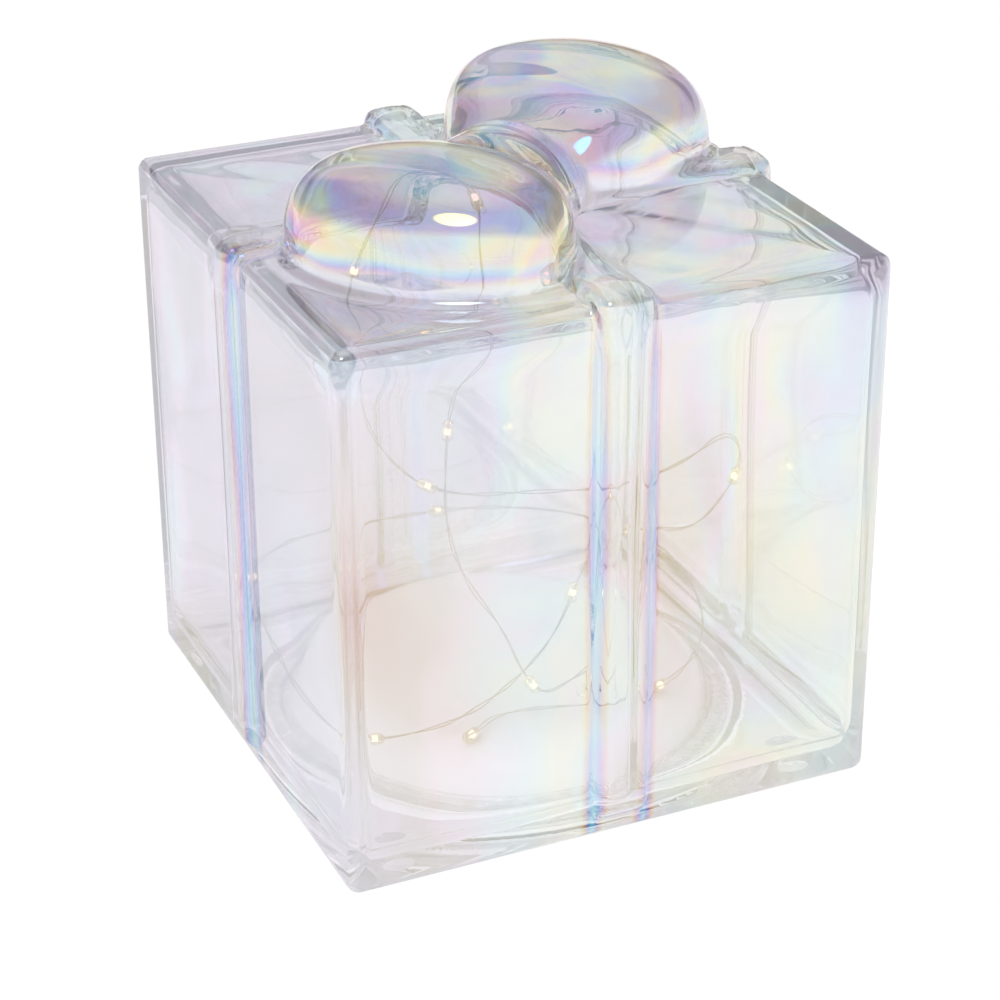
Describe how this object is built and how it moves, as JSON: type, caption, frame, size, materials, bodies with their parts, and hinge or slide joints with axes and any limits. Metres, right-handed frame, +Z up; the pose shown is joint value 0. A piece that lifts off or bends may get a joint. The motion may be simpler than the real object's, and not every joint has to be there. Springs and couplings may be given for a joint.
{
  "type": "light-up gift box ornament",
  "caption": "Hollow iridescent glass gift box with moulded ribbons and bow, lit from inside by a battery fairy-light string on a base with switch and battery door.",
  "frame": {"origin": "centre of the plane that the feet rest on", "axes": "+Z up; the front face with its ribbon looks along -Y; the bow runs along the diagonal from (-X, -Y) to (+X, +Y)"},
  "size_m": [0.1584, 0.1584, 0.1807],
  "materials": {
    "iridescent_glass": "clear blown glass with a thin iridescent coating",
    "clear_silicone": "translucent satin",
    "white_plastic": "moulded, semi-gloss",
    "door_plastic": "moulded, fine texture",
    "screw_steel": "zinc plated",
    "nickel_contact": "nickel plated",
    "board_laminate": "solder mask",
    "chip_epoxy": "moulded epoxy",
    "resistor_lacquer": "lacquered",
    "black_plastic": "satin",
    "red_insulation": "satin",
    "white_rubber": "matte",
    "enamelled_wire": "enamelled, silvery copper",
    "phosphor": "warm white phosphor",
    "clear_resin": "clear cured resin",
    "cell_jacket": "plain printed sleeve"
  },
  "bodies": {
    "lamp": {"glass_body": "iridescent_glass", "bumper_feet": "clear_silicone", "silicone_seal": "clear_silicone", "base_cover": "white_plastic", "base_tray": "white_plastic", "base_screws": "screw_steel", "positive_terminal": "nickel_contact", "negative_terminal": "nickel_contact", "circuit_board": "board_laminate", "timer_chip": "chip_epoxy", "timer_crystal": "nickel_contact", "series_resistor": "resistor_lacquer", "switch_body": "nickel_contact", "battery_lead_positive": "red_insulation", "battery_lead_negative": "black_plastic", "string_grommet": "white_rubber", "string_lead": "enamelled_wire", "light_string": "enamelled_wire", "led_chips": "phosphor", "battery_1": "cell_jacket", "battery_2": "cell_jacket", "battery_3": "cell_jacket", "contact_spring_1": "nickel_contact", "contact_spring_2": "nickel_contact", "contact_spring_3": "nickel_contact", "bridge_contact_1": "nickel_contact", "bridge_contact_2": "nickel_contact", "led_bead_01": "clear_resin", "led_bead_02": "clear_resin", "led_bead_03": "clear_resin", "led_bead_04": "clear_resin", "led_bead_05": "clear_resin", "led_bead_06": "clear_resin", "led_bead_07": "clear_resin", "led_bead_08": "clear_resin", "led_bead_09": "clear_resin", "led_bead_10": "clear_resin", "led_bead_11": "clear_resin", "led_bead_12": "clear_resin", "led_bead_13": "clear_resin"},
    "door": {"battery_door": "door_plastic"},
    "switch": {"switch_slider": "black_plastic"}
  },
  "joints": [
    {"name": "battery_door_hinge", "type": "hinge", "parent": "lamp", "child": "door", "pos_m": [0, 0.02845, 0.0044], "axis": [1, 0, 0], "range_deg": [0, 90]},
    {"name": "switch_slide", "type": "slide", "parent": "lamp", "child": "switch", "axis": [1, 0, 0], "range_m": [-0.004, 0]}
  ]
}
